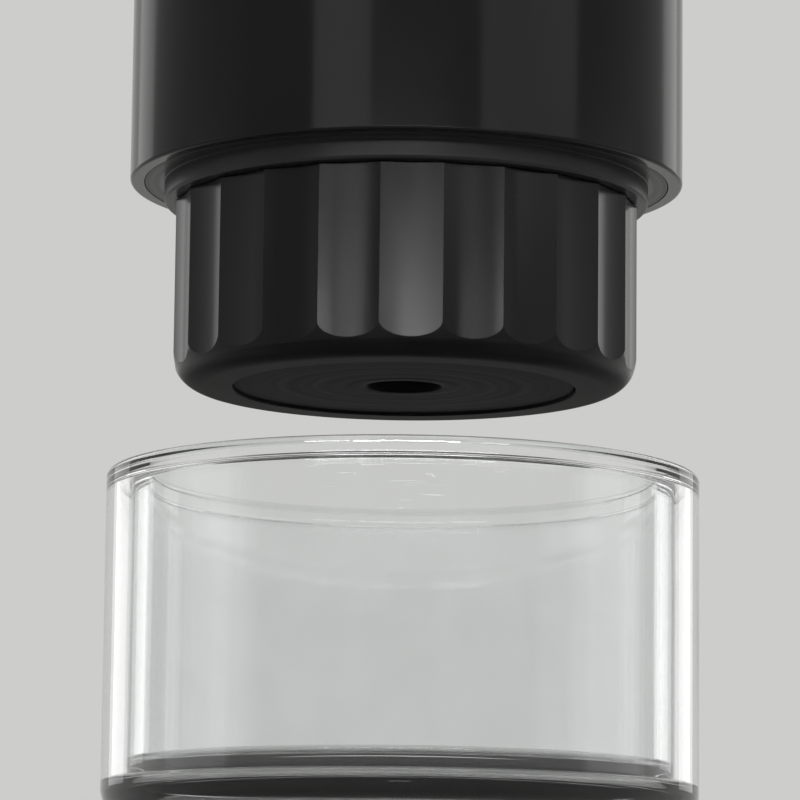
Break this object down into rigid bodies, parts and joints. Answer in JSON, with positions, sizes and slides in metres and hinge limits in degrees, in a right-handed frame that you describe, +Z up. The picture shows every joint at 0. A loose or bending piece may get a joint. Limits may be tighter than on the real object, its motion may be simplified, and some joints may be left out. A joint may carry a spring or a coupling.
{
  "type": "portable espresso maker",
  "caption": "Hand-held battery espresso maker with water tank, heater and pump in a round body, screw lid, fluted screw-on portafilter, and a clear double-walled cup set below it.",
  "frame": {"origin": "on the axis, at the middle of the hand grip", "axes": "+Z up along the axis, -Y towards the front with the power button"},
  "size_m": [0.0754, 0.0754, 0.2652],
  "materials": {
    "shell_black": "satin near-black",
    "collar_grey": "satin dark grey",
    "grip_black": "satin black with sharp facets",
    "underside_black": "satin black",
    "button_black": "satin black",
    "light_ring": "translucent white",
    "cup_clear": "clear plastic",
    "steel": "drawn stainless steel",
    "screw_steel": "plain steel",
    "yoke_steel": "zinc plated",
    "heater_aluminium": "cast",
    "brass": "turned",
    "tab_nickel": "nickel strip",
    "frame_black": "moulded",
    "seal_silicone": "soft",
    "hose_silicone": "translucent",
    "rubber_black": "soft",
    "tank_felt": "felt",
    "bobbin_white": "moulded",
    "winding_copper": "enamelled copper wire",
    "cell_blue": "shrink wrap",
    "board_green": "coated board",
    "component_black": "moulded"
  },
  "bodies": {
    "maker": {"body_shell": "shell_black", "neck_ring": "frame_black", "water_tank": "steel", "tank_wrap": "tank_felt", "heater_plate": "heater_aluminium", "heater_element": "steel", "thermostat": "heater_aluminium", "thermistor": "brass", "tank_outlet": "brass", "inlet_hose": "hose_silicone", "cell_holder_top": "frame_black", "cell_holder_bottom": "frame_black", "cell_tabs": "tab_nickel", "tie_rods": "screw_steel", "pump_inlet": "frame_black", "pump_guide_tube": "screw_steel", "coil_bobbin": "bobbin_white", "coil_winding": "winding_copper", "pump_yoke": "yoke_steel", "plunger_spring": "screw_steel", "buffer_washer": "seal_silicone", "pump_head": "frame_black", "valve_spring": "screw_steel", "pump_outlet": "frame_black", "pump_mount_top": "rubber_black", "pump_mount_bottom": "rubber_black", "main_board": "board_green", "board_components": "component_black", "tact_switch": "component_black", "button_light_ring": "light_ring", "port_frame": "frame_black", "charging_board": "board_green", "usb_socket": "steel", "group_plate": "frame_black", "brew_inlet": "brass", "outlet_hose": "hose_silicone", "group_seal": "seal_silicone", "shower_screen": "steel", "brew_collar": "collar_grey", "collar_screws": "screw_steel", "cell_rear": "cell_blue", "cell_left": "cell_blue", "cell_right": "cell_blue"},
    "cup": {"cup_outer": "cup_clear", "cup_inner": "cup_clear"},
    "basket": {"filter_basket": "steel"},
    "portafilter": {"portafilter_grip": "grip_black", "portafilter_base": "underside_black"},
    "lid_inner": {"lid_insert": "frame_black", "lid_seal": "seal_silicone"},
    "lid": {"lid_cap": "shell_black"},
    "button": {"power_button": "button_black", "switch_plunger": "component_black"},
    "port_flap": {"port_cover": "rubber_black"},
    "plunger": {"pump_plunger": "screw_steel"},
    "poppet": {"valve_poppet": "seal_silicone"}
  },
  "joints": [
    {"name": "cup_lift", "type": "slide", "parent": "maker", "child": "cup", "axis": [0, 0, 1], "range_m": [0, 0.0373]},
    {"name": "lid_lift", "type": "slide", "parent": "maker", "child": "lid_inner", "axis": [0, 0, 1], "range_m": [0, 0.009]},
    {"name": "lid_turn", "type": "hinge", "parent": "lid_inner", "child": "lid", "pos_m": [0, 0, 0.0993], "axis": [0, 0, 1], "range_deg": [0, 360]},
    {"name": "portafilter_drop", "type": "slide", "parent": "maker", "child": "basket", "axis": [0, 0, -1], "range_m": [0, 0.0095]},
    {"name": "portafilter_turn", "type": "hinge", "parent": "basket", "child": "portafilter", "pos_m": [0, 0, -0.1114], "axis": [0, 0, -1], "range_deg": [0, 360]},
    {"name": "button_press", "type": "slide", "parent": "maker", "child": "button", "axis": [0, 1, 0], "range_m": [0, 0.0006], "stiffness_N_per_m": 1200, "springref_m": -0.0004},
    {"name": "port_cover_swing", "type": "hinge", "parent": "maker", "child": "port_flap", "pos_m": [0.00753, 0.03398, -0.045], "axis": [0, 0, -1], "range_deg": [0, 100]},
    {"name": "plunger_stroke", "type": "slide", "parent": "maker", "child": "plunger", "axis": [0, 0, 1], "range_m": [0, 0.004], "stiffness_N_per_m": 300, "springref_m": -0.0015, "deforming": ["plunger_spring"]},
    {"name": "valve_open", "type": "slide", "parent": "maker", "child": "poppet", "axis": [0, 0, -1], "range_m": [0, 0.001], "stiffness_N_per_m": 80, "springref_m": -0.001, "deforming": ["valve_spring"]}
  ],
  "couplings": [
    {"joint": "lid_lift", "follows": "lid_turn", "m_per_rad": 0.0014324},
    {"joint": "portafilter_drop", "follows": "portafilter_turn", "m_per_rad": 0.001512}
  ]
}
